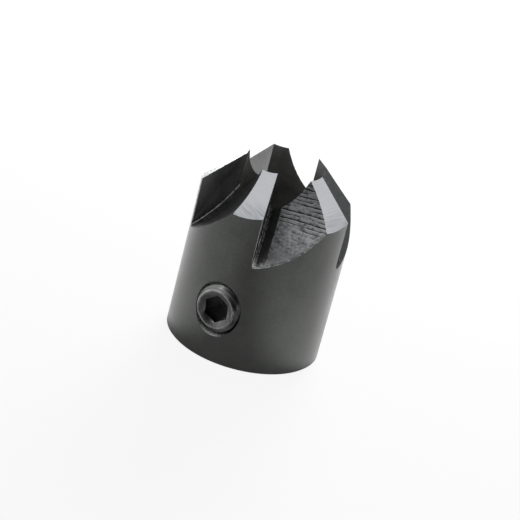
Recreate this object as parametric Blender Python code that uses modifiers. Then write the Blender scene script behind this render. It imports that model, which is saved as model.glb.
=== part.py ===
# Drill countersink: a short hollow cutter that slides on a twist drill and is clamped there by one
# grub screw in its side. Metres, +Z up. The tool turns about Z, its flat back face lies at Z = 0,
# its teeth point up and its screw faces -Y.

import math

import bmesh
import bpy
from mathutils import Matrix, Vector

MM = 0.001

# Turned body
BODY_DIAMETER = 16.0 * MM
BODY_LENGTH = 20.0 * MM
SHOULDER_HEIGHT = 16.5 * MM  # outer end of a cutting edge above the back face
DRILL_DIAMETER = 8.0 * MM
DRILL_CLEARANCE = 0.12 * MM  # bore radius less drill radius
BACK_EDGE_BREAK = 0.15 * MM  # chamfer round the outside of the back face
BORE_EDGE_BREAK = 0.3 * MM  # chamfer at the bore's mouth in the back face

# Teeth, which cut when the tool turns clockwise seen from the back
TOOTH_COUNT = 5
FIRST_TOOTH_ANGLE = 20.3  # degrees counter-clockwise from the screw, seen from above
FACE_OFFSET = 0.48 * MM  # how far each cutting face trails the plane through the axis
RELIEF_ANGLE = 23.7  # degrees that the ground flank falls behind its cutting edge

# Chip flutes, each left by one pass of a wheel with a sloping rim
WHEEL_RADIUS = 17.5 * MM
WHEEL_OVERRUN = 2.0 * MM  # how far the rim passes the bore's wall towards the axis
FLUTE_BOTTOM = 11.2 * MM  # height of a flute's lowest corner, at the outside
FLOOR_RISE_ANGLE = 18.7  # degrees that the floor climbs away from the cutting face
CORNER_WIDTH = 0.35 * MM  # rounding of the wheel's corner, left between face and floor
CORNER_STEPS = 3

# Grub screw and its hole, both smooth here at about the depth of the real thread
SCREW_DIAMETER = 5.0 * MM
THREAD_ALLOWANCE = 0.15 * MM  # screw radius below the nominal one
SCREW_GAP = 0.3 * MM  # hole radius less screw radius
SCREW_HEIGHT = 5.7 * MM  # screw axis above the back face
SCREW_PROUD = 0.3 * MM  # outer end past the body's surface
TIP_SETBACK = 0.18 * MM  # inner end short of the bore
SCREW_CHAMFER = 0.35 * MM
HOLE_CHAMFER = 0.2 * MM
HEX_ACROSS_FLATS = 2.5 * MM
HEX_DEPTH = 2.0 * MM
HEX_TURN = 7.6  # degrees that the socket is turned from point up, seen from outside

# How finely the round forms are cut into flats
BODY_SEGMENTS = 120
HOLE_SEGMENTS = 56
WHEEL_STEPS = 26
CUT_MARGIN = 1.0 * MM  # how far a cutter runs past what it cuts
SMOOTH_ANGLE = 25.0  # degrees, edges sharper than this stay crisp

# Values worked out from the ones above
BODY_RADIUS = BODY_DIAMETER / 2
BORE_RADIUS = DRILL_DIAMETER / 2 + DRILL_CLEARANCE
EDGE_OUTER = math.sqrt(BODY_RADIUS**2 - FACE_OFFSET**2)  # ends of a cutting edge along its face
EDGE_INNER = math.sqrt(BORE_RADIUS**2 - FACE_OFFSET**2)
CONE_SLOPE = (BODY_LENGTH - SHOULDER_HEIGHT) / (EDGE_OUTER - EDGE_INNER)
WHEEL_CENTRE_X = BORE_RADIUS - WHEEL_OVERRUN + WHEEL_RADIUS
WHEEL_DROP = math.sqrt(WHEEL_RADIUS**2 - (WHEEL_CENTRE_X - EDGE_OUTER) ** 2)
WHEEL_CENTRE_Z = FLUTE_BOTTOM + WHEEL_DROP
SCREW_RADIUS = SCREW_DIAMETER / 2 - THREAD_ALLOWANCE
HOLE_RADIUS = SCREW_RADIUS + SCREW_GAP
SCREW_OUTER_END = BODY_RADIUS + SCREW_PROUD  # distances from the tool's axis
SCREW_INNER_END = BORE_RADIUS + TIP_SETBACK
SCREW_LENGTH = SCREW_OUTER_END - SCREW_INNER_END


def clear_scene():
    for obj in list(bpy.data.objects):
        bpy.data.objects.remove(obj)


def new_collection(name):
    collection = bpy.data.collections.new(name)
    bpy.context.scene.collection.children.link(collection)
    return collection


def steel(name, colour, roughness):
    material = bpy.data.materials.new(name)
    material.use_nodes = True
    shader = material.node_tree.nodes["Principled BSDF"]
    shader.inputs["Base Color"].default_value = (*colour, 1.0)
    shader.inputs["Roughness"].default_value = roughness
    shader.inputs["Metallic"].default_value = 1.0
    return material


def add_object(name, mesh, collection):
    obj = bpy.data.objects.new(name, mesh)
    collection.objects.link(obj)
    return obj


def as_cutter(obj):
    obj.hide_render = True
    obj.display_type = "WIRE"
    return obj


def turned(name, profile, ring, segments, collection):
    # Revolves (radius, height) points about Z. A ring closes on itself, and any other profile
    # starts and ends on the axis. The outer side runs from top to bottom.
    mesh = bpy.data.meshes.new(name)
    edges = [(i, i + 1) for i in range(len(profile) - 1)]
    if ring:
        edges.append((len(profile) - 1, 0))
    mesh.from_pydata([(radius, 0, height) for radius, height in profile], edges, [])
    obj = add_object(name, mesh, collection)
    screw = obj.modifiers.new("Turn", "SCREW")
    screw.axis = "Z"
    screw.angle = math.tau
    screw.steps = segments
    screw.render_steps = segments
    screw.use_merge_vertices = True
    screw.merge_threshold = 0.000001
    return obj


def subtract(target, cutter):
    cut = target.modifiers.new("Cut " + cutter.name, "BOOLEAN")
    cut.operation = "DIFFERENCE"
    cut.solver = "EXACT"
    cut.object = cutter


def settle_shape(obj):
    # Turns the modifiers' result into the object's own mesh, smooth where it is round.
    depsgraph = bpy.context.evaluated_depsgraph_get()
    mesh = bpy.data.meshes.new_from_object(obj.evaluated_get(depsgraph))
    mesh.name = obj.name
    obj.modifiers.clear()
    obj.data = mesh
    mesh.shade_smooth()
    mesh.set_sharp_from_angle(angle=math.radians(SMOOTH_ANGLE))


def body_blank(collection):
    # A plain ring, taller than the teeth, because the flank cuts give it its pointed end.
    top = BODY_LENGTH + CUT_MARGIN
    profile = [
        (BORE_RADIUS, top),
        (BODY_RADIUS, top),
        (BODY_RADIUS, BACK_EDGE_BREAK),
        (BODY_RADIUS - BACK_EDGE_BREAK, 0),
        (BORE_RADIUS + BORE_EDGE_BREAK, 0),
        (BORE_RADIUS, BORE_EDGE_BREAK),
    ]
    return turned("countersink_body", profile, True, BODY_SEGMENTS, collection)


def flute_cutter(name, collection):
    # The wheel's outline lies in the plane of the cutting face. Pushing it out sideways and up
    # leaves that flat face on one side and a hollow, climbing floor on the other.
    outer = BODY_RADIUS + CUT_MARGIN
    last = math.acos((WHEEL_CENTRE_X - outer) / WHEEL_RADIUS)
    outline = []
    for step in range(WHEEL_STEPS + 1):
        turn = last * step / WHEEL_STEPS
        x = WHEEL_CENTRE_X - WHEEL_RADIUS * math.cos(turn)
        z = WHEEL_CENTRE_Z - WHEEL_RADIUS * math.sin(turn)
        outline.append((x, -FACE_OFFSET, z))
    sweep = Vector((0, BODY_RADIUS, BODY_RADIUS * math.tan(math.radians(FLOOR_RISE_ANGLE))))
    shape = bmesh.new()
    rim = [shape.verts.new(point) for point in outline]
    hub = shape.verts.new((outer, -FACE_OFFSET, WHEEL_CENTRE_Z))
    face = shape.faces.new([*rim, hub])
    rounding = shape.edges.layers.float.new("bevel_weight_edge")
    for edge in face.edges:
        edge[rounding] = 0.0 if hub in edge.verts else 1.0
    pushed = bmesh.ops.extrude_face_region(shape, geom=[face])["geom"]
    moved = [item for item in pushed if isinstance(item, bmesh.types.BMVert)]
    bmesh.ops.translate(shape, vec=sweep, verts=moved)
    bmesh.ops.recalc_face_normals(shape, faces=shape.faces)
    mesh = bpy.data.meshes.new(name)
    shape.to_mesh(mesh)
    shape.free()
    cutter = as_cutter(add_object(name, mesh, collection))
    corner = cutter.modifiers.new("Corner", "BEVEL")
    corner.limit_method = "WEIGHT"
    corner.width = CORNER_WIDTH
    corner.segments = CORNER_STEPS
    return cutter


def flank_cutter(name, collection):
    # A block whose underside is the tooth's ground flank. The flank holds the cutting edge, from
    # the shoulder to the tip, and falls away behind it.
    size = 2 * BODY_DIAMETER
    relief = math.tan(math.radians(RELIEF_ANGLE))
    upward = Vector((CONE_SLOPE, -relief, 1)).normalized()
    along = Vector((1, 0, -CONE_SLOPE)).normalized()
    frame = Matrix((along, upward.cross(along), upward)).transposed().to_4x4()
    shoulder = Matrix.Translation((EDGE_OUTER, -FACE_OFFSET, SHOULDER_HEIGHT))
    raised = Matrix.Translation((0, 0, size / 2))
    shape = bmesh.new()
    bmesh.ops.create_cube(shape, size=size, matrix=shoulder @ frame @ raised)
    mesh = bpy.data.meshes.new(name)
    shape.to_mesh(mesh)
    shape.free()
    return as_cutter(add_object(name, mesh, collection))


def screw_hole_cutter(collection):
    # Starts on the tool's axis, inside the bore, so that it opens one wall only.
    chamfer_start = BODY_RADIUS - HOLE_CHAMFER
    outer = BODY_RADIUS + CUT_MARGIN
    profile = [
        (0, outer),
        (HOLE_RADIUS + outer - chamfer_start, outer),
        (HOLE_RADIUS, chamfer_start),
        (HOLE_RADIUS, 0),
        (0, 0),
    ]
    cutter = as_cutter(turned("screw_hole_cutter", profile, False, HOLE_SEGMENTS, collection))
    cutter.location = (0, 0, SCREW_HEIGHT)
    cutter.rotation_euler = (math.radians(90), 0, 0)
    return cutter


def make_body(parts, cutters):
    body = body_blank(parts)
    body.data.materials.append(steel("blackened_steel", (0.055, 0.057, 0.06), 0.42))
    for tooth in range(TOOTH_COUNT):
        angle = -90 + FIRST_TOOTH_ANGLE + tooth * 360 / TOOTH_COUNT
        flute = flute_cutter(f"flute_cutter_{tooth + 1}", cutters)
        flank = flank_cutter(f"flank_cutter_{tooth + 1}", cutters)
        for cutter in (flute, flank):
            cutter.rotation_euler = (0, 0, math.radians(angle))
            subtract(body, cutter)
    subtract(body, screw_hole_cutter(cutters))
    settle_shape(body)
    return body


def make_screw(parts, cutters):
    # Modelled along Z from its outer end down, then laid along -Y in the hole.
    face_radius = SCREW_RADIUS - SCREW_CHAMFER
    profile = [
        (0, 0),
        (face_radius, 0),
        (SCREW_RADIUS, -SCREW_CHAMFER),
        (SCREW_RADIUS, -SCREW_LENGTH + SCREW_CHAMFER),
        (face_radius, -SCREW_LENGTH),
        (0, -SCREW_LENGTH),
    ]
    screw = turned("clamp_screw", profile, False, HOLE_SEGMENTS, parts)
    screw.data.materials.append(steel("screw_steel", (0.075, 0.077, 0.08), 0.36))
    screw.location = (0, -SCREW_OUTER_END, SCREW_HEIGHT)
    screw.rotation_euler = (math.radians(90), 0, 0)
    corner_radius = HEX_ACROSS_FLATS / math.sqrt(3)
    shape = bmesh.new()
    bmesh.ops.create_cone(
        shape,
        cap_ends=True,
        segments=6,
        radius1=corner_radius,
        radius2=corner_radius,
        depth=2 * HEX_DEPTH,
        matrix=Matrix.Rotation(math.radians(HEX_TURN), 4, "Z"),
    )
    mesh = bpy.data.meshes.new("hex_cutter")
    shape.to_mesh(mesh)
    shape.free()
    hex_cutter = as_cutter(add_object("hex_cutter", mesh, cutters))
    hex_cutter.location = screw.location
    hex_cutter.rotation_euler = screw.rotation_euler
    subtract(screw, hex_cutter)
    settle_shape(screw)
    return screw


def main():
    clear_scene()
    parts = new_collection("drill_countersink")
    cutters = new_collection("cutters")
    make_body(parts, cutters)
    make_screw(parts, cutters)


main()
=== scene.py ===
import math

import bmesh
import bpy
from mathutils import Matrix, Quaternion, Vector, noise


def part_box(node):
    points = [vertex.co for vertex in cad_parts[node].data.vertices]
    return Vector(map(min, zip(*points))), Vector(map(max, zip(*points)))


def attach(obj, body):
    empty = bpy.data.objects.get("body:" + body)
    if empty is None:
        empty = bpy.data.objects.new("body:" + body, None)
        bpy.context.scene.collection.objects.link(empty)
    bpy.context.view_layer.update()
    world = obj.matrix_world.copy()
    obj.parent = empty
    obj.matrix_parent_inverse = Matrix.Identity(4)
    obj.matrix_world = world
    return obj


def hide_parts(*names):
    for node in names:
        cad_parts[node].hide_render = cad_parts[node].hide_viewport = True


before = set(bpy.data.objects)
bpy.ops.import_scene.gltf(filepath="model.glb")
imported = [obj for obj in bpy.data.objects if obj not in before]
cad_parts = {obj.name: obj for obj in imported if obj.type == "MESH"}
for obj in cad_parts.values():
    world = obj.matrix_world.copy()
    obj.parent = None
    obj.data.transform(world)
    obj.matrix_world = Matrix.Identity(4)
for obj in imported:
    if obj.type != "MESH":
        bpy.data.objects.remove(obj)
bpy.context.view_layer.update()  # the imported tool: metres, +Z along its axis, the screw facing -Y

mm = 0.001
mergeDistance = 0.001 * mm
flatWithin = 0.0001 * mm
near = 0.01 * mm  # two places closer than this are the same place
squareOn = 0.99  # a face looks along an axis when its normal has more than this along it
roundSides = 96  # of the small cylinders and cones
smoothAngle = math.radians(30)

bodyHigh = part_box("countersink_body")[1]
screwLow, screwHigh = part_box("clamp_screw")
screwAxisHeight = (screwLow.z + screwHigh.z) / 2


# Small helpers for modelling by hand

def deselectAll():
    bpy.ops.object.select_all(action="DESELECT")


def selectOnly(obj):
    deselectAll()
    obj.select_set(True)
    bpy.context.view_layer.objects.active = obj


def newPiece(name):
    # Names the primitive that was just added and puts its place into its mesh
    obj = bpy.context.active_object
    obj.name = name
    obj.data.name = name
    bpy.ops.object.transform_apply(location=True, rotation=True, scale=True)
    return obj


def pick(obj, kind, test):
    # In edit mode, selects the verts, edges or faces that pass the test and nothing else
    bpy.ops.mesh.select_mode(type=kind)
    bpy.ops.mesh.select_all(action="DESELECT")
    shape = bmesh.from_edit_mesh(obj.data)
    items = {"VERT": shape.verts, "EDGE": shape.edges, "FACE": shape.faces}[kind]
    for item in items:
        if test(item):
            item.select_set(True)
    bmesh.update_edit_mesh(obj.data)


def middle(edge):
    return (edge.verts[0].co + edge.verts[1].co) / 2


def isLevel(edge):
    return abs(edge.verts[0].co.z - edge.verts[1].co.z) < near


def singlePoint(name, place):
    # One loose point, for outlines that are drawn by extruding, left selected in edit mode
    deselectAll()
    bpy.ops.mesh.primitive_plane_add(size=mm, location=place)
    obj = newPiece(name)
    bpy.ops.object.mode_set(mode="EDIT")
    bpy.ops.mesh.select_mode(type="VERT")
    bpy.ops.mesh.select_all(action="SELECT")
    bpy.ops.mesh.merge(type="CENTER")
    bpy.ops.mesh.select_all(action="SELECT")
    return obj


def extrudeBy(step):
    bpy.ops.mesh.extrude_region_move(TRANSFORM_OT_translate={"value": tuple(step)})


def closeUp():
    # Merges doubles, turns every face outwards and leaves edit mode
    bpy.ops.mesh.select_all(action="SELECT")
    bpy.ops.mesh.remove_doubles(threshold=mergeDistance)
    bpy.ops.mesh.normals_make_consistent(inside=False)
    bpy.ops.object.mode_set(mode="OBJECT")


def modify(obj, kind, **values):
    # Adds a modifier, sets it and applies it
    selectOnly(obj)
    modifier = obj.modifiers.new(kind.title(), kind)
    for key, value in values.items():
        setattr(modifier, key, value)
    bpy.ops.object.modifier_apply(modifier=modifier.name)


def cutWith(obj, cutter, operation="DIFFERENCE"):
    modify(obj, "BOOLEAN", operation=operation, solver="EXACT", object=cutter, material_mode="TRANSFER")
    bpy.data.objects.remove(cutter)


def layPattern(obj, rule, name="UVMap"):
    # Pattern coordinates in millimetres for every corner, from its place and its face's normal
    layer = obj.data.uv_layers.get(name) or obj.data.uv_layers.new(name=name)
    for face in obj.data.polygons:
        for corner in face.loop_indices:
            place = obj.data.vertices[obj.data.loops[corner].vertex_index].co
            u, v = rule(place, face.normal)
            layer.data[corner].uv = (u / mm, v / mm)


def smoothStep(low, high, value):
    share = min(1, max(0, (value - low) / (high - low)))
    return share * share * (3 - 2 * share)


def unevenness(along, level, wavesAlong, wavesUp, seed):
    # Smooth noise between about -1 and 1, with its own number of waves each way
    return noise.noise(Vector((along * wavesAlong, level * wavesUp, seed)))


# Shader building blocks

def addNode(tree, kind, **settings):
    node = tree.nodes.new(kind)
    for key, value in settings.items():
        setattr(node, key, value)
    return node


def connect(tree, value, socket):
    # Links another node's output, or sets a plain number or colour
    if isinstance(value, bpy.types.NodeSocket):
        tree.links.new(value, socket)
    elif isinstance(value, tuple):
        socket.default_value = (*value, 1)
    else:
        socket.default_value = value


def calculate(tree, operation, first, second=None, clamp=False):
    node = addNode(tree, "ShaderNodeMath", operation=operation, use_clamp=clamp)
    connect(tree, first, node.inputs[0])
    if second is not None:
        connect(tree, second, node.inputs[1])
    return node.outputs[0]


def multiply(tree, first, second, clamp=False):
    return calculate(tree, "MULTIPLY", first, second, clamp)


def weigh(tree, *pairs):
    # The sum of values, each times its own weight
    total = None
    for value, weight in pairs:
        share = multiply(tree, value, weight)
        total = share if total is None else calculate(tree, "ADD", total, share)
    return total


def remap(tree, value, fromLow, fromHigh, toLow=0, toHigh=1):
    node = addNode(tree, "ShaderNodeMapRange", interpolation_type="SMOOTHSTEP")
    tree.links.new(value, node.inputs["Value"])
    limits = {"From Min": fromLow, "From Max": fromHigh, "To Min": toLow, "To Max": toHigh}
    for name, limit in limits.items():
        node.inputs[name].default_value = limit
    return node.outputs["Result"]


def stripe(tree, value, centre, width):
    # 1 on a line at that value, falling to 0 at that width away from it
    away = calculate(tree, "ABSOLUTE", calculate(tree, "SUBTRACT", value, centre))
    return calculate(tree, "SUBTRACT", 1, calculate(tree, "DIVIDE", away, width), clamp=True)


def blendColours(tree, share, dark, light):
    node = addNode(tree, "ShaderNodeMix", data_type="RGBA")
    tree.links.new(share, node.inputs["Factor"])
    connect(tree, dark, node.inputs["A"])
    connect(tree, light, node.inputs["B"])
    return node.outputs["Result"]


def partOf(tree, vector, axis):
    parts = addNode(tree, "ShaderNodeSeparateXYZ")
    tree.links.new(vector, parts.inputs[0])
    return parts.outputs[axis]


def addCloud(tree, vector, scale, detail, roughness=0.5):
    cloud = addNode(tree, "ShaderNodeTexNoise")
    connect(tree, vector, cloud.inputs["Vector"])
    connect(tree, scale, cloud.inputs["Scale"])
    cloud.inputs["Detail"].default_value = detail
    cloud.inputs["Roughness"].default_value = roughness
    return cloud.outputs["Fac"]


noiseSpan = (0.3, 0.7)  # where most of a noise texture's values lie
chipSpan = (0.35, 0.65)  # closer, for harder chips


def newGroup(name, inputs, outputs):
    # A node group that takes a vector and plain numbers, and puts out numbers
    group = bpy.data.node_groups.new(name, "ShaderNodeTree")
    group.interface.new_socket(name="vector", in_out="INPUT", socket_type="NodeSocketVector")
    for label, value in inputs.items():
        socket = group.interface.new_socket(name=label, in_out="INPUT", socket_type="NodeSocketFloat")
        socket.default_value = value
    for label in outputs:
        group.interface.new_socket(name=label, in_out="OUTPUT", socket_type="NodeSocketFloat")
    return group, addNode(group, "NodeGroupInput").outputs, addNode(group, "NodeGroupOutput").inputs


def makeMottle():
    # Cloudy patches and fine specks
    inputs = {"patchScale": 400, "speckScale": 4000}
    group, given, result = newGroup("oxideMottle", inputs, ["patches", "specks"])
    for label, scale, detail in (("patches", "patchScale", 4), ("specks", "speckScale", 2)):
        cloud = addCloud(group, given["vector"], given[scale], detail, roughness=0.6)
        group.links.new(remap(group, cloud, *noiseSpan), result[label])
    return group


def makeToolLines():
    # Fine lines that run along X and differ along Y, as a wheel or a cutter leaves them
    group, given, result = newGroup("toolLines", {"lineScale": 5, "runScale": 0.1}, ["lines"])
    joined = addNode(group, "ShaderNodeCombineXYZ")
    for axis, scale in (("X", "runScale"), ("Y", "lineScale")):
        stretched = multiply(group, partOf(group, given["vector"], axis), given[scale])
        group.links.new(stretched, joined.inputs[axis])
    streaks = addCloud(group, joined.outputs[0], 1, 3)
    group.links.new(remap(group, streaks, *noiseSpan), result["lines"])
    return group


def makeRubbedRim():
    # A ring of wear, broken up by noise, at one distance from the Z axis
    inputs = {"radius": 0.008, "width": 0.0001, "breakUp": 0.5, "chipScale": 3500}
    group, given, result = newGroup("rubbedRim", inputs, ["wear"])
    flat = addNode(group, "ShaderNodeVectorMath", operation="MULTIPLY")
    flat.inputs[1].default_value = (1, 1, 0)
    group.links.new(given["vector"], flat.inputs[0])
    distance = addNode(group, "ShaderNodeVectorMath", operation="LENGTH")
    group.links.new(flat.outputs["Vector"], distance.inputs[0])
    ring = stripe(group, distance.outputs["Value"], given["radius"], given["width"])
    chips = addCloud(group, given["vector"], given["chipScale"], 3)
    loss = multiply(group, remap(group, chips, *chipSpan), given["breakUp"])
    left = calculate(group, "SUBTRACT", 1, loss)
    group.links.new(multiply(group, ring, left, clamp=True), result["wear"])
    return group


groups = {"mottle": makeMottle(), "toolLines": makeToolLines(), "rubbedRim": makeRubbedRim()}


def useGroup(tree, name, vector, values):
    # Places a group in a material with its own values and returns its outputs
    node = addNode(tree, "ShaderNodeGroup", node_tree=groups[name])
    tree.links.new(vector, node.inputs["vector"])
    for key, value in values.items():
        node.inputs[key].default_value = value
    return node.outputs


def newMaterial(name):
    material = bpy.data.materials.new(name)
    material.use_nodes = True
    return material, material.node_tree, material.node_tree.nodes["Principled BSDF"]


def coordinates(tree, kind="Object"):
    return addNode(tree, "ShaderNodeTexCoord").outputs[kind]


def storedMark(tree, axis):
    # X or Y of what the modelling stored in the body's second set of pattern coordinates
    return partOf(tree, addNode(tree, "ShaderNodeUVMap", uv_map="milledMarks").outputs[0], axis)


def mapped(tree, vector, location=(0, 0, 0), rotation=(0, 0, 0), scale=(1, 1, 1)):
    node = addNode(tree, "ShaderNodeMapping")
    node.inputs["Location"].default_value = location
    node.inputs["Rotation"].default_value = [math.radians(turn) for turn in rotation]
    node.inputs["Scale"].default_value = scale
    tree.links.new(vector, node.inputs["Vector"])
    return node.outputs["Vector"]


def dressMetal(tree, shader, look, colour, height, roughened=None):
    # Metal of that colour with a bump, and with one roughness or a pattern that runs between two
    tree.links.new(colour, shader.inputs["Base Color"])
    if roughened is None:
        shader.inputs["Roughness"].default_value = look["roughness"]
    else:
        tree.links.new(remap(tree, roughened, 0, 1, *look["roughness"]), shader.inputs["Roughness"])
    shader.inputs["Metallic"].default_value = 1
    bump = addNode(tree, "ShaderNodeBump")
    bump.inputs["Distance"].default_value, bump.inputs["Strength"].default_value = look["bump"]
    tree.links.new(height, bump.inputs["Height"])
    tree.links.new(bump.outputs["Normal"], shader.inputs["Normal"])


# Materials: each look's bump is a depth and a strength, and each "between" is two values of its pattern

def makeBlackenedSteel():
    # Black oxide under a film of oil, which is the coat, with a painted reflection making it lighter towards
    # the lower end
    look = {
        "dark": (0.054, 0.058, 0.053),
        "light": (0.118, 0.125, 0.117),
        "mottle": {"patchScale": 260, "speckScale": 5200},
        "turning": {"lineScale": 7, "runScale": 0.15},
        "patches": 0.35,  # how much this and the next two lighten it
        "specks": 0.25,
        # painted reflection: how much lighter the lower end is, fading out at the next height
        "paintedReflection": 0.5,
        "paintedReflectionUpTo": 14 * mm,
        "roughness": (0.3, 0.38),
        "coatRoughness": 0.34,
        "bump": (0.002 * mm, 0.35),
    }
    material, tree, shader = newMaterial("blackenedSteel")
    place = coordinates(tree)
    mottle = useGroup(tree, "mottle", place, look["mottle"])
    inMillimetres = mapped(tree, place, rotation=(90, 0, 0), scale=(1 / mm, 1 / mm, 1 / mm))
    turning = useGroup(tree, "toolLines", inMillimetres, look["turning"])["lines"]
    # Painted reflection: the colour lightens towards the lower end
    paintedReflectionMask = remap(tree, partOf(tree, place, "Z"), 0, look["paintedReflectionUpTo"], 1, 0)
    share = weigh(tree, (mottle["patches"], look["patches"]), (mottle["specks"], look["specks"]),
                  (paintedReflectionMask, look["paintedReflection"]))
    colour = blendColours(tree, share, look["dark"], look["light"])
    height = calculate(tree, "ADD", turning, mottle["specks"])
    dressMetal(tree, shader, look, colour, height, roughened=mottle["patches"])
    shader.inputs["Coat Weight"].default_value = 1
    shader.inputs["Coat Roughness"].default_value = look["coatRoughness"]
    return material


def makeBoreSteel():
    look = {
        "dark": (0.24, 0.24, 0.235),
        "light": (0.36, 0.36, 0.353),
        "mottle": {"patchScale": 500, "speckScale": 5000},
        "roughness": 0.55,
        "bump": (0.004 * mm, 0.4),
    }
    material, tree, shader = newMaterial("boreSteel")
    mottle = useGroup(tree, "mottle", coordinates(tree), look["mottle"])
    colour = blendColours(tree, mottle["patches"], look["dark"], look["light"])
    dressMetal(tree, shader, look, colour, mottle["specks"])
    return material


def makeGroundFlank():
    # The wheel's lines show most on the outer third of a flank
    look = {
        "dark": (0.36, 0.38, 0.41),
        "light": (0.6, 0.61, 0.632),
        "wide": {"lineScale": 6, "runScale": 0.4},
        "fine": {"lineScale": 18, "runScale": 1.5},
        "wideShare": 0.7,
        "fineShare": 0.3,
        "linesBetween": (-2.2, -0.4),  # millimetres past the shoulder
        "linesShown": (0.2, 1),  # how strongly at each end
        "roughness": (0.26, 0.42),
        "bump": (0.006 * mm, 0.6),
    }
    material, tree, shader = newMaterial("groundFlank")
    pattern = coordinates(tree, "UV")
    wide = useGroup(tree, "toolLines", pattern, look["wide"])["lines"]
    fine = useGroup(tree, "toolLines", pattern, look["fine"])["lines"]
    hatch = weigh(tree, (wide, look["wideShare"]), (fine, look["fineShare"]))
    shown = remap(tree, storedMark(tree, "X"), *look["linesBetween"], *look["linesShown"])
    share = multiply(tree, hatch, shown)
    colour = blendColours(tree, share, look["light"], look["dark"])
    dressMetal(tree, shader, look, colour, share, roughened=share)
    return material


def makeCuttingFace():
    look = {
        "dark": (0.18, 0.183, 0.18),
        "light": (0.25, 0.254, 0.25),
        "lines": {"lineScale": 8, "runScale": 0.3},
        "mottle": {"patchScale": 500, "speckScale": 4500},
        "lineShare": 0.6,
        "speckShare": 0.4,
        "roughness": (0.3, 0.4),
        "bump": (0.001 * mm, 0.15),
    }
    material, tree, shader = newMaterial("cuttingFace")
    upright = mapped(tree, coordinates(tree, "UV"), rotation=(0, 0, 90))
    lines = useGroup(tree, "toolLines", upright, look["lines"])["lines"]
    mottle = useGroup(tree, "mottle", coordinates(tree), look["mottle"])
    share = weigh(tree, (lines, look["lineShare"]), (mottle["specks"], look["speckShare"]))
    colour = blendColours(tree, share, look["dark"], look["light"])
    dressMetal(tree, shader, look, colour, lines, roughened=mottle["patches"])
    return material


def makeFluteFloor():
    # Milled steel with the black rubbed off more in some flutes than in others, which is what bare says.
    # Heights and widths on the floor are in millimetres, as in its pattern.
    look = {
        "dark": (0.06, 0.062, 0.063),
        "light": (0.41, 0.42, 0.43),
        "mottle": {"patchScale": 900, "speckScale": 3600},
        "feed": {"lineScale": 5, "runScale": 0.5},
        "feedShare": 0.3,
        "speckShare": 0.35,
        "patchShare": 0.35,
        "barerBetween": (12.3, 16.5),
        "bareness": (0.5, 1.9),
        "ridges": {"lineScale": 1.5, "runScale": 0.2},  # light ones, in a flute that kept its black
        "ridgesBetween": (0.6, 0.9),
        "ridgeShare": 0.18,
        "blackBetween": (0.02, 0.05),
        "paintedShade": (0.03, 0.031, 0.029),  # painted shade on the floor beside the cutting face
        "paintedShadeFade": 0.1,
        "paintedShadeWaver": 0.12,
        "paintedShadeStreaks": {"lineScale": 9, "runScale": 0.25},
        "paintedShadeStreakShare": 0.09,
        "bright": (0.6, 0.6, 0.6),
        "rim": {"radius": bodyHigh.x, "width": 0.16 * mm, "breakUp": 1.5, "chipScale": 2200},
        "innerRim": {"radius": bodyHigh.x, "width": 0.9 * mm, "breakUp": 1, "chipScale": 1900},
        "innerRimBetween": (11.4, 12.3),
        "innerRimWear": (0.9, 0.15),
        "groove": (0.012, 0.012, 0.012),
        "grooveBetween": (0.25, 0.65),
        "paintedEdgeHighlights": ((-0.41, 0.06, 0.7), (-0.14, 0.06, 0.7), (0.82, 0.05, 0.3)),  # painted highlights along the corner and the painted shade's edge: place, width, strength
        "paintedEdgeHighlightsBetween": (0.1, 0.5),  # broken up by the specks
        "roughness": (0.3, 0.46),
        "bump": (0.01 * mm, 0.6),
    }
    material, tree, shader = newMaterial("fluteFloor")
    place, pattern = coordinates(tree), coordinates(tree, "UV")
    across, level = partOf(tree, pattern, "X"), partOf(tree, pattern, "Y")
    upright = mapped(tree, pattern, rotation=(0, 0, 90))
    groove, bare = storedMark(tree, "X"), storedMark(tree, "Y")
    mottle = useGroup(tree, "mottle", place, look["mottle"])

    feed = useGroup(tree, "toolLines", pattern, look["feed"])["lines"]
    relief = weigh(tree, (feed, look["feedShare"]), (mottle["specks"], look["speckShare"]),
                   (mottle["patches"], look["patchShare"]))
    upper = remap(tree, level, *look["barerBetween"], *look["bareness"])
    rubbed = multiply(tree, multiply(tree, relief, upper), bare)
    ridges = useGroup(tree, "toolLines", upright, look["ridges"])["lines"]
    ridges = remap(tree, ridges, *look["ridgesBetween"])
    ridges = multiply(tree, ridges, remap(tree, bare, *look["blackBetween"], 1, 0))
    share = calculate(tree, "ADD", rubbed, multiply(tree, ridges, look["ridgeShare"]))
    colour = blendColours(tree, share, look["dark"], look["light"])

    # Painted shade: a dark band on the floor beside the cutting face, with faint light streaks in it
    wander = calculate(tree, "ADD", across, multiply(tree, mottle["patches"], look["paintedShadeWaver"]))
    paintedShade = remap(tree, wander, flute["paintedShadeEdge"], flute["paintedShadeEdge"] + look["paintedShadeFade"], 1, 0)
    streaks = useGroup(tree, "toolLines", upright, look["paintedShadeStreaks"])["lines"]
    swept = multiply(tree, streaks, look["paintedShadeStreakShare"])
    colour = blendColours(tree, paintedShade, colour, blendColours(tree, swept, look["paintedShade"], look["light"]))

    rim = useGroup(tree, "rubbedRim", place, look["rim"])["wear"]
    innerRim = useGroup(tree, "rubbedRim", place, look["innerRim"])["wear"]
    lowest = remap(tree, level, *look["innerRimBetween"], *look["innerRimWear"])
    wear = calculate(tree, "MAXIMUM", rim, multiply(tree, innerRim, lowest))
    colour = blendColours(tree, multiply(tree, wear, bare), colour, look["bright"])
    colour = blendColours(tree, remap(tree, groove, *look["grooveBetween"]), colour, look["groove"])

    # Painted highlights: thin bright lines along the corner and along the painted shade's edge
    lines = [(stripe(tree, across, centre, width), strength) for centre, width, strength in look["paintedEdgeHighlights"]]
    broken = remap(tree, mottle["specks"], *look["paintedEdgeHighlightsBetween"])
    colour = blendColours(tree, multiply(tree, weigh(tree, *lines), broken), colour, look["bright"])
    dressMetal(tree, shader, look, colour, relief, roughened=relief)
    return material


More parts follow.
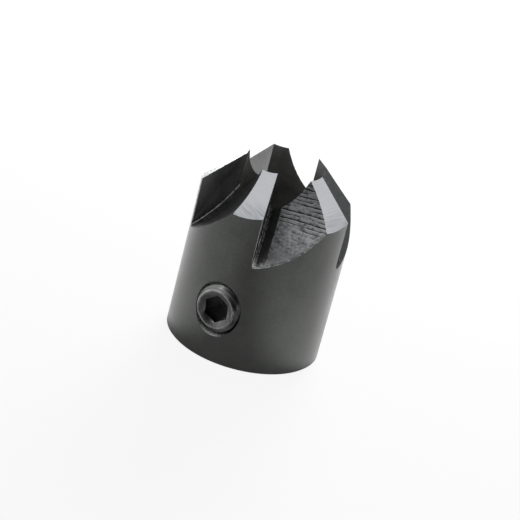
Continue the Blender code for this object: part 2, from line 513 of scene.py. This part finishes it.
def makeTappedHole():
    look = {
        "dark": (0.03, 0.03, 0.031),
        "light": (0.08, 0.081, 0.082),
        "mottle": {"patchScale": 900, "speckScale": 4000},
        "roughness": 0.4,
        "bump": (0.005 * mm, 0.5),
    }
    material, tree, shader = newMaterial("tappedHole")
    specks = useGroup(tree, "mottle", coordinates(tree), look["mottle"])["specks"]
    dressMetal(tree, shader, look, blendColours(tree, specks, look["dark"], look["light"]), specks)
    return material


def makeBareEdge():
    # Where the black finish is rubbed or stoned off: the upright edges and the hole's mouth
    look = {
        "dark": (0.2, 0.203, 0.2),
        "light": (0.44, 0.445, 0.44),
        "mottle": {"patchScale": 1100, "speckScale": 4800},
        "patchShare": 0.5,
        "speckShare": 0.5,
        "roughness": (0.25, 0.4),
        "bump": (0.005 * mm, 0.5),
    }
    material, tree, shader = newMaterial("bareEdge")
    mottle = useGroup(tree, "mottle", coordinates(tree), look["mottle"])
    share = weigh(tree, (mottle["patches"], look["patchShare"]), (mottle["specks"], look["speckShare"]))
    colour = blendColours(tree, share, look["dark"], look["light"])
    dressMetal(tree, shader, look, colour, share, roughened=share)
    return material


def makeScrewSteel():
    # Blackened steel with rings rubbed bright round its face and a painted highlight, patterned about the
    # screw's own axis
    look = {
        "dark": (0.065, 0.067, 0.065),
        "light": (0.3, 0.307, 0.3),
        "bright": (0.55, 0.56, 0.55),
        "mottle": {"patchScale": 900, "speckScale": 4500},
        "rim": {"radius": 2.03 * mm, "width": 0.08 * mm, "breakUp": 0.6, "chipScale": 1500},
        "mouth": {"radius": 1.9 * mm, "width": 0.06 * mm, "breakUp": 0.8, "chipScale": 1700},
        "inner": {"radius": 1.3 * mm, "width": 0.75 * mm, "breakUp": 0.3, "chipScale": 1200},
        "innerShare": 0.35,
        "patchShare": 0.25,
        "paintedHighlightShare": 0.5,
        "paintedHighlightAlong": (-0.29, 0.96, 0),  # painted highlight: the face is lighter towards both ends of this line
        "paintedHighlightBetween": (1.1 * mm, 1.9 * mm),
        "roughness": (0.16, 0.26),
        "bump": (0.004 * mm, 0.5),
    }
    material, tree, shader = newMaterial("screwSteel")
    mottle = useGroup(tree, "mottle", coordinates(tree), look["mottle"])
    face = mapped(tree, coordinates(tree), location=(0, -screwAxisHeight, 0), rotation=(-90, 0, 0))
    rim, mouthRing, inner = (useGroup(tree, "rubbedRim", face, look[ring])["wear"]
                             for ring in ("rim", "mouth", "inner"))
    # Painted highlight: the face lightens towards both ends of a line across it
    along = addNode(tree, "ShaderNodeVectorMath", operation="DOT_PRODUCT")
    along.inputs[1].default_value = look["paintedHighlightAlong"]
    tree.links.new(face, along.inputs[0])
    ends = remap(tree, calculate(tree, "ABSOLUTE", along.outputs["Value"]), *look["paintedHighlightBetween"])
    tone = weigh(tree, (inner, look["innerShare"]), (mottle["patches"], look["patchShare"]),
                 (ends, look["paintedHighlightShare"]))
    plain = blendColours(tree, tone, look["dark"], look["light"])
    wear = calculate(tree, "MAXIMUM", rim, mouthRing)
    colour = blendColours(tree, wear, plain, look["bright"])
    dressMetal(tree, shader, look, colour, mottle["specks"], roughened=mottle["specks"])
    return material


# The flutes' settings, which the floor's material reads too

flute = {
    "wheelRadius": 17.5 * mm,
    "wheelOverrun": 2 * mm,
    "bottom": 11.2 * mm,
    "floorRise": 18.7,  # degrees
    "firstTurn": 12,  # degrees down the wheel, where the floor is above every flank
    "arcSteps": 248,
    "cornerRows": 7,
    "floorRows": 58,
    "cornerRadius": 0.35 * mm,
    "cornerReach": 1.2,  # how far its rows run, in corner radii
    "rimWidth": 0.06 * mm,
    "paintedShadeEdge": 0.78,  # millimetres across, where the painted shade beside the cutting face ends
    "paintedShadeBlur": 0.1,
    "groovePitch": 0.36,  # millimetres, as the next four; every second groove is a weak one
    "grooveHalfWidth": (0.05, 0.0375),  # of a strong groove and of a weak one
    "grooveWaver": 0.09,
    "grooveShiver": 0.035,
    "grooveStart": (14.2, 15.7),  # heights
    "grooveTilt": 0.07,
    "grooveSpread": 0.7,  # how much the widths differ
    "grooveBreaks": ((-0.8, -0.2), (-0.3, 0.15)),  # noise at which strong and weak ones fade in
    "grooveDepth": 0.022 * mm,
    "streakDepth": 0.008 * mm,
    "grainDepth": 0.007 * mm,
    "lumpDepth": 0.012 * mm,
    "rimChipping": 0.25,
    "chatter": (1, 0.3, 0.6, 0.5, 0.2),  # how strongly each flute is grooved
    "bare": (1, 0.06, 0.5, 0.7, 0.02),  # how far the black finish is rubbed off each flute
    "seeds": (3.1, 11.7, 23.4, 31.9, 47.2),
}

finish = {
    "outside": makeBlackenedSteel(),
    "bore": makeBoreSteel(),
    "flank": makeGroundFlank(),
    "face": makeCuttingFace(),
    "floor": makeFluteFloor(),
    "hole": makeTappedHole(),
    "bare": makeBareEdge(),
    "screw": makeScrewSteel(),
}
print("materials ready")


# Threads, for the screw and for its tapped hole

thread = {"flankAngle": 30, "spareTurns": 2, "steps": 64}  # degrees, and how many steps wind one turn


def threadedRod(name, rod):
    # One pitch of the outline, wound round Z and cut flat at both ends
    height = rod["crest"] - rod["root"]
    flankRun = height * math.tan(math.radians(thread["flankAngle"]))
    crestFlat = rod["pitch"] / 8  # as on metric threads
    rootFlat = rod["pitch"] - crestFlat - 2 * flankRun
    obj = singlePoint(name, (rod["root"], 0, 0))
    for step in ((0, 0, rootFlat), (height, 0, flankRun), (0, 0, crestFlat), (-height, 0, flankRun)):
        extrudeBy(step)
    bpy.ops.object.mode_set(mode="OBJECT")
    turns = math.ceil(rod["length"] / rod["pitch"]) + thread["spareTurns"]
    modify(obj, "SCREW", axis="Z", screw_offset=rod["pitch"], iterations=turns, steps=thread["steps"],
           render_steps=thread["steps"], use_merge_vertices=True, merge_threshold=mergeDistance)
    bpy.ops.object.mode_set(mode="EDIT")
    for height, upward in ((rod["pitch"], -1), (rod["pitch"] + rod["length"], 1)):
        bpy.ops.mesh.select_all(action="SELECT")
        bpy.ops.mesh.remove_doubles(threshold=mergeDistance)
        bpy.ops.mesh.bisect(plane_co=(0, 0, height), plane_no=(0, 0, upward), use_fill=True,
                            clear_outer=True, threshold=flatWithin)
    bpy.ops.mesh.select_all(action="SELECT")
    bpy.ops.transform.translate(value=(0, 0, -rod["pitch"]))
    closeUp()
    return obj


def layAlongScrew(obj, distance):
    # Lays a piece modelled up Z along the screw's axis, its base at that distance from the tool's axis
    obj.rotation_euler = (math.radians(90), 0, 0)
    obj.location = (0, -distance, screwAxisHeight)
    selectOnly(obj)
    bpy.ops.object.transform_apply(location=True, rotation=True, scale=True)


# Body

body = {
    "radius": bodyHigh.x,
    "length": bodyHigh.z,
    "shoulderHeight": 16.5 * mm,
    "boreRadius": 4.12 * mm,
    "backEdgeBreak": 0.15 * mm,
    "boreEdgeBreak": 0.3 * mm,
    "segments": 240,
    "spare": 1 * mm,  # how far a cutter runs past what it cuts
    "toothCount": 5,
    "firstToothAngle": -69.7,  # degrees, the cutting face's direction seen from above
    "faceOffset": 0.48 * mm,  # from the tool's axis to the plane of each cutting face
    "reliefAngle": 23.7,  # degrees
}
edgeOuter = math.sqrt(body["radius"] ** 2 - body["faceOffset"] ** 2)
edgeInner = math.sqrt(body["boreRadius"] ** 2 - body["faceOffset"] ** 2)
coneSlope = (body["length"] - body["shoulderHeight"]) / (edgeOuter - edgeInner)


def turnedBlank():
    # The wall's section with its two edge breaks, spun round the tool's axis
    inner, outer, top = body["boreRadius"], body["radius"], body["length"] + body["spare"]
    blank = singlePoint("countersinkBody", (inner, 0, top))
    for step in ((outer - inner, 0, 0), (0, 0, -top), (inner - outer, 0, 0)):
        extrudeBy(step)
    pick(blank, "VERT", lambda vert: vert.co.x < outer - near)
    bpy.ops.mesh.edge_face_add()
    for x, width in ((outer, body["backEdgeBreak"]), (inner, body["boreEdgeBreak"])):
        corner = Vector((x, 0, 0))
        pick(blank, "VERT", lambda vert: (vert.co - corner).length < near)
        bpy.ops.mesh.bevel(offset=width, segments=1, affect="VERTICES")
    bpy.ops.mesh.select_all(action="SELECT")
    bpy.ops.mesh.spin(steps=body["segments"], angle=math.tau, use_auto_merge=True,
                      center=(0, 0, 0), axis=(0, 0, 1))
    closeUp()
    blank.data.materials.append(finish["outside"])
    blank.data.materials.append(finish["bore"])
    boreReach = inner + body["boreEdgeBreak"] / 4  # takes in the bore's wall and not its edge break
    for face in blank.data.polygons:
        face.material_index = 1 if Vector(face.center[:2]).length < boreReach else 0
    layPattern(blank, lambda place, normal: (place.x, place.z))
    layPattern(blank, lambda place, normal: (0, 0), name="milledMarks")
    return blank


flank = {"blockSize": 32 * mm, "lineTurn": (35, 10, 20, 25, 15)}  # degrees, the grinding lines of each tooth


def flankBlock(tooth):
    # A block whose underside is the ground flank, from the cutting edge down to its heel
    upward = Vector((coneSlope, -math.tan(math.radians(body["reliefAngle"])), 1)).normalized()
    along = Vector((1, 0, -coneSlope)).normalized()
    across = along.cross(upward)
    shoulder = Vector((edgeOuter, -body["faceOffset"], body["shoulderHeight"]))
    deselectAll()
    bpy.ops.mesh.primitive_cube_add(size=flank["blockSize"],
                                    location=shoulder + upward * flank["blockSize"] / 2,
                                    rotation=upward.to_track_quat("Z", "Y").to_euler())
    block = newPiece(f"flankBlock{tooth + 1}")
    block.data.materials.append(finish["flank"])
    turn = math.radians(flank["lineTurn"][tooth])
    run = across * math.cos(turn) - along * math.sin(turn)
    side = along * math.cos(turn) + across * math.sin(turn)
    layPattern(block, lambda place, normal: (place.dot(run), place.dot(side)))
    layPattern(block, lambda place, normal: ((place - shoulder).dot(along), 0), name="milledMarks")
    return block


def grooveShare(place, seed):
    # Chatter grooves across the flute: wandering lines a pitch apart, deepest high on the floor
    along, level = place.y / mm, place.z / mm - flute["grooveTilt"] * place.y / mm
    wander = flute["grooveWaver"] * unevenness(along, level, 0.35, 1.1, seed)
    wander += flute["grooveShiver"] * unevenness(along, level, 2.3, 3, seed + 2)
    line = (level + wander) / flute["groovePitch"]
    number = round(line)
    away = abs(line - number) * flute["groovePitch"]
    weak = number % 2
    width = flute["grooveHalfWidth"][weak]
    width *= 1 + flute["grooveSpread"] * unevenness(along, number, 1.3, 3.7, seed + 4)
    kept = smoothStep(*flute["grooveBreaks"][weak], unevenness(along, number, 0.6, 5.3, seed + 5))
    edge, blur = flute["paintedShadeEdge"], flute["paintedShadeBlur"]
    kept *= smoothStep(*flute["grooveStart"], level) * smoothStep(edge - blur, edge + blur, along)
    return kept * math.exp(-((away / width) ** 2))


def floorRelief(place, groove, seed):
    # How far the milled floor lies below the clean sweep of the wheel, in metres
    along, level = place.y / mm, place.z / mm
    burr = smoothStep(body["radius"] - 2 * flute["rimWidth"], body["radius"], math.hypot(place.x, place.y))
    chipping = 1 - flute["rimChipping"] + flute["rimChipping"] * unevenness(along, level, 4, 4, seed + 20)
    return (flute["grooveDepth"] * groove
            + flute["streakDepth"] * unevenness(along, level, 0.4, 6, seed + 9)
            + flute["grainDepth"] * unevenness(along, level, 3.2, 3.2, seed + 14)
            + flute["lumpDepth"] * unevenness(along, level, 1.1, 1.4, seed + 17)
            + flute["rimWidth"] * burr * chipping)


def fluteBlock(tooth):
    # The wheel's sweep: an arc drawn by spinning a point, pushed sideways and up for the floor,
    # worn into its milled relief, and extruded up to clear everything above it
    wheel, faceY, cornerRadius = flute["wheelRadius"], -body["faceOffset"], flute["cornerRadius"]
    centreX = body["boreRadius"] - flute["wheelOverrun"] + wheel
    centreZ = flute["bottom"] + math.sqrt(wheel ** 2 - (centreX - edgeOuter) ** 2)
    first = math.radians(flute["firstTurn"])
    last = math.acos((centreX - body["radius"] - body["spare"]) / wheel)
    start = (centreX - wheel * math.cos(first), faceY, centreZ - wheel * math.sin(first))
    block = singlePoint(f"fluteBlock{tooth + 1}", start)
    bpy.ops.mesh.spin(steps=flute["arcSteps"], angle=last - first, center=(centreX, faceY, centreZ),
                      axis=(0, 1, 0))
    bpy.ops.mesh.select_all(action="SELECT")
    rise = math.tan(math.radians(flute["floorRise"]))
    cornerWidth = cornerRadius * flute["cornerReach"]
    for width, rows in ((cornerWidth, flute["cornerRows"]), (body["radius"], flute["floorRows"])):
        for row in range(rows):
            extrudeBy((0, width / rows, rise * width / rows))
    bpy.ops.object.mode_set(mode="OBJECT")
    seed = flute["seeds"][tooth]
    grooves = [flute["chatter"][tooth] * grooveShare(vert.co, seed) for vert in block.data.vertices]
    marks = block.data.uv_layers.new(name="milledMarks")
    for loop in block.data.loops:
        marks.data[loop.index].uv = (grooves[loop.vertex_index], flute["bare"][tooth])
    for vert, groove in zip(block.data.vertices, grooves):
        across = vert.co.y - faceY
        outward = Vector((vert.co.x - centreX, 0, vert.co.z - centreZ - rise * across)).normalized()
        rounding = cornerRadius - math.sqrt(cornerRadius ** 2 - max(0, cornerRadius - across) ** 2)
        vert.co += outward * (floorRelief(vert.co, groove, seed) - rounding)
    bpy.ops.object.mode_set(mode="EDIT")
    bpy.ops.mesh.select_all(action="SELECT")
    top = Vector((0, 0, 2 * body["length"]))
    extrudeBy(top)
    bpy.ops.transform.resize(value=(1, 1, 0), center_override=top)
    bpy.ops.mesh.dissolve_faces()
    pick(block, "FACE", lambda face: all(abs(vert.co.y - faceY) < flatWithin for vert in face.verts))
    bpy.ops.mesh.dissolve_faces()
    closeUp()
    block.data.materials.append(finish["floor"])
    block.data.materials.append(finish["face"])
    for face in block.data.polygons:
        face.material_index = 1 if face.normal.y < -squareOn and face.area > mm * mm else 0
    layPattern(block, lambda place, normal: (place.x if normal.y < -squareOn else place.y, place.z))
    return block


stoned = {"width": 0.08 * mm, "stoneSize": 0.3 * mm, "lowest": 11.8 * mm, "highest": 17.4 * mm}


def edgeStone(tooth):
    # Takes the burr off the upright edge where a cutting face meets the round body, at 45 degrees
    size, tall = stoned["stoneSize"], stoned["highest"] - stoned["lowest"]
    edge = Vector((edgeOuter, -body["faceOffset"], stoned["lowest"] + tall / 2))
    place = edge + Vector((1, 1, 0)).normalized() * ((size - stoned["width"]) / 2)
    deselectAll()
    bpy.ops.mesh.primitive_cube_add(size=1, location=place, rotation=(0, 0, math.radians(45)),
                                    scale=(size, size, tall))
    stone = newPiece(f"edgeStone{tooth + 1}")
    stone.data.materials.append(finish["bare"])
    layPattern(stone, lambda place, normal: (place.y, place.z))
    return stone


hole = {"crest": 2.64 * mm, "root": 2.46 * mm, "pitch": 0.8 * mm, "length": 10.2 * mm}
mouth = {"radius": 2.92 * mm, "depth": 0.5 * mm}


def mouthCone():
    # Countersinks the hole's mouth, where it breaks out at the top and bottom of the round body
    height = mouth["depth"] + body["spare"]
    deselectAll()
    bpy.ops.mesh.primitive_cone_add(vertices=roundSides, radius1=mouth["radius"] - mouth["depth"],
                                    radius2=mouth["radius"] + body["spare"], depth=height,
                                    location=(0, 0, height / 2))
    cone = newPiece("mouthCone")
    cone.data.materials.append(finish["bare"])
    layPattern(cone, lambda place, normal: (place.x, place.z))
    layAlongScrew(cone, body["radius"] - mouth["depth"])
    return cone


def makeBody():
    piece = turnedBlank()
    angle = math.tau / body["toothCount"]
    turns = [math.radians(body["firstToothAngle"]) + tooth * angle for tooth in range(body["toothCount"])]
    for tooth, turn in enumerate(turns):
        for block in (flankBlock(tooth), edgeStone(tooth)):
            block.rotation_euler = (0, 0, turn)
            cutWith(piece, block)
    tap = threadedRod("tap", hole)
    tap.data.materials.append(finish["hole"])
    layPattern(tap, lambda place, normal: (place.x, place.z))
    layAlongScrew(tap, 0)
    cutWith(piece, tap)
    cutWith(piece, mouthCone())
    print("body turned, ground and tapped")
    for tooth, turn in enumerate(turns):
        block = fluteBlock(tooth)
        block.rotation_euler = (0, 0, turn)
        cutWith(piece, block)
        print("flute", tooth + 1, "milled,", len(piece.data.polygons), "faces")
    selectOnly(piece)
    bpy.ops.object.shade_smooth_by_angle(angle=smoothAngle)
    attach(piece, "body")
    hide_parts("countersink_body")


makeBody()


# Clamp screw

screw = {
    "crest": 2.4 * mm,
    "root": 1.97 * mm,
    "pitch": 0.8 * mm,
    "length": screwHigh.y - screwLow.y,
    "faceRadius": 2.02 * mm,
    "rounding": 0.04 * mm,
    "cupRadius": 1.2 * mm,
    "cupDepth": 0.5 * mm,
    "spare": 0.02 * mm,  # how far the envelope stands clear of the thread's crests
}
socket = {
    "acrossFlats": 2.5 * mm,
    "depth": 2 * mm,
    "turn": 7.6,  # degrees
    "mouthRadius": 1.9 * mm,
    "mouthReach": 0.9 * mm,
    "mouthSlope": 0.5,
    "bottomInset": 0.06 * mm,
    "bottomDrop": 0.45 * mm,
}


def screwEnvelope():
    # A plain rod with the screw's chamfered ends, its cup point below and rounded rims
    deselectAll()
    bpy.ops.mesh.primitive_cylinder_add(vertices=roundSides, radius=screw["crest"] + screw["spare"],
                                        depth=screw["length"], location=(0, 0, screw["length"] / 2))
    rod = newPiece("screwEnvelope")
    bpy.ops.object.mode_set(mode="EDIT")
    chamfer = screw["crest"] - screw["faceRadius"]
    pick(rod, "EDGE", isLevel)
    bpy.ops.mesh.bevel(offset=chamfer + screw["spare"], segments=1, affect="EDGES")
    faceReach = screw["faceRadius"] + near
    pick(rod, "EDGE", lambda edge: isLevel(edge) and middle(edge).xy.length < faceReach)
    bpy.ops.mesh.bevel(offset=screw["rounding"], segments=2, affect="EDGES")
    pick(rod, "FACE", lambda face: face.normal.z < -squareOn)
    bpy.ops.mesh.inset(thickness=screw["faceRadius"] - screw["cupRadius"], use_even_offset=True)
    extrudeBy((0, 0, screw["cupDepth"]))
    bpy.ops.mesh.merge(type="CENTER")
    closeUp()
    return rod


def socketKey():
    # The hex key's shape with a shallow cone under it, standing in the outer end
    deselectAll()
    bpy.ops.mesh.primitive_cylinder_add(vertices=6, radius=socket["acrossFlats"] / math.sqrt(3),
                                        depth=2 * socket["depth"], location=(0, 0, screw["length"]),
                                        rotation=(0, 0, math.radians(socket["turn"])))
    key = newPiece("socketKey")
    bpy.ops.object.mode_set(mode="EDIT")
    pick(key, "FACE", lambda face: face.normal.z < -squareOn)
    bpy.ops.mesh.inset(thickness=socket["bottomInset"])
    extrudeBy((0, 0, -socket["bottomDrop"]))
    bpy.ops.mesh.merge(type="CENTER")
    closeUp()
    return key


def socketMouth():
    # The wide shallow cone that leads into the socket
    reach = socket["mouthReach"]
    deselectAll()
    bpy.ops.mesh.primitive_cone_add(vertices=roundSides, radius1=socket["mouthRadius"] - reach,
                                    radius2=socket["mouthRadius"] + reach,
                                    depth=2 * reach * socket["mouthSlope"], location=(0, 0, screw["length"]))
    return newPiece("socketMouth")


def makeScrew():
    piece = threadedRod("clampScrew", screw)
    cutWith(piece, screwEnvelope(), "INTERSECT")
    cutWith(piece, socketKey())
    cutWith(piece, socketMouth())
    piece.data.materials.clear()
    piece.data.materials.append(finish["screw"])
    layAlongScrew(piece, -screwHigh.y)
    bpy.ops.object.shade_smooth_by_angle(angle=smoothAngle)
    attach(piece, "screw")
    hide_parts("clamp_screw")
    print("screw made,", len(piece.data.polygons), "faces")


makeScrew()


# Floor, light and camera

stage = {
    "floorSize": 3.0,
    "floorColour": (0.9, 0.9, 0.9),
    "floorRoughness": 0.9,
    "whiteSeen": 0.9,
    "whiteReflected": 0.1,
}


def raysThat(tree, seen, reflected):
    # One weight for rays from the camera and another for rays off metal or through glass
    path = addNode(tree, "ShaderNodeLightPath")
    return weigh(tree, (path.outputs["Is Camera Ray"], seen), (path.outputs["Is Glossy Ray"], reflected),
                 (path.outputs["Is Transmission Ray"], reflected))


def makeFloor():
    deselectAll()
    bpy.ops.mesh.primitive_plane_add(size=stage["floorSize"])
    floor = newPiece("studioFloor")
    material, tree, shader = newMaterial("paleFloor")
    connect(tree, stage["floorColour"], shader.inputs["Base Color"])
    connect(tree, stage["floorRoughness"], shader.inputs["Roughness"])
    glow = addNode(tree, "ShaderNodeEmission")
    mix = addNode(tree, "ShaderNodeMixShader")
    tree.links.new(raysThat(tree, stage["whiteSeen"], stage["whiteReflected"]), mix.inputs[0])
    tree.links.new(shader.outputs[0], mix.inputs[1])
    tree.links.new(glow.outputs[0], mix.inputs[2])
    tree.links.new(mix.outputs[0], tree.nodes["Material Output"].inputs["Surface"])
    floor.data.materials.append(material)


lights = {
    "room": (0.07, 0.22),  # strength on the unlit side and all round it
    "darkSide": -62.5,  # degrees, the unlit side of the room, seen from above
    "darkEdge": (0.9, 0.2),  # cosines, from where it is all unlit to where it is all lit
    "whiteReflected": 0.64,
    "lamps": {
        "back": {"size": 0.1, "place": (-0.039, 0.164, 0.065), "power": 0.67, "mirrored": False},
        "front": {"size": 0.05, "place": (-0.18, -0.41, 0.22), "power": 0.05, "mirrored": True},
    },
}


def makeLights():
    world = bpy.context.scene.world or bpy.data.worlds.new("studio")
    bpy.context.scene.world = world
    world.use_nodes = True
    tree = world.node_tree
    room = tree.nodes["Background"]
    room.inputs["Color"].default_value = (1, 1, 1, 1)
    turn = math.radians(lights["darkSide"])
    facing = addNode(tree, "ShaderNodeVectorMath", operation="DOT_PRODUCT")
    facing.inputs[1].default_value = (math.cos(turn), math.sin(turn), 0)
    tree.links.new(coordinates(tree, "Generated"), facing.inputs[0])
    low, high = lights["room"]
    lit = remap(tree, facing.outputs["Value"], *lights["darkEdge"])
    mirrored = multiply(tree, lit, raysThat(tree, 0, lights["whiteReflected"]))
    strength = weigh(tree, (lit, high - low), (mirrored, 1), (raysThat(tree, 1, 0), 1))
    tree.links.new(calculate(tree, "ADD", strength, low), room.inputs["Strength"])
    for name, plan in lights["lamps"].items():
        deselectAll()
        bpy.ops.object.light_add(type="AREA", location=plan["place"])
        lamp = bpy.context.active_object
        lamp.name = name + "Softbox"
        lamp.data.size = plan["size"]
        lamp.data.energy = plan["power"]
        lamp.visible_glossy = plan["mirrored"]  # metal shows the white room and not a glaring lamp
        lamp.rotation_euler = Vector(plan["place"]).to_track_quat("Z", "Y").to_euler()


view = {
    "azimuth": 23.2,  # degrees, as the next two
    "elevation": 23.8,
    "roll": 14.78,
    "target": (0, 0, 8.8 * mm),
    "distance": 203.6 * mm,
    "lens": 138.6,
    "shift": (-0.0040, 0.0010),
    "nearest": 10 * mm,
}


def makeCamera():
    turn, rise, roll = (math.radians(view[key]) for key in ("azimuth", "elevation", "roll"))
    back = Vector((math.sin(turn) * math.cos(rise), -math.cos(turn) * math.cos(rise), math.sin(rise)))
    deselectAll()
    bpy.ops.object.camera_add(location=Vector(view["target"]) + back * view["distance"])
    camera = bpy.context.active_object
    camera.rotation_mode = "QUATERNION"
    camera.rotation_quaternion = Quaternion(back, roll) @ back.to_track_quat("Z", "Y")
    camera.data.lens = view["lens"]
    camera.data.shift_x, camera.data.shift_y = view["shift"]
    camera.data.clip_start = view["nearest"]
    bpy.context.scene.camera = camera
    bpy.context.scene.view_settings.view_transform = "Standard"


makeFloor()
makeLights()
makeCamera()
print("stage set")
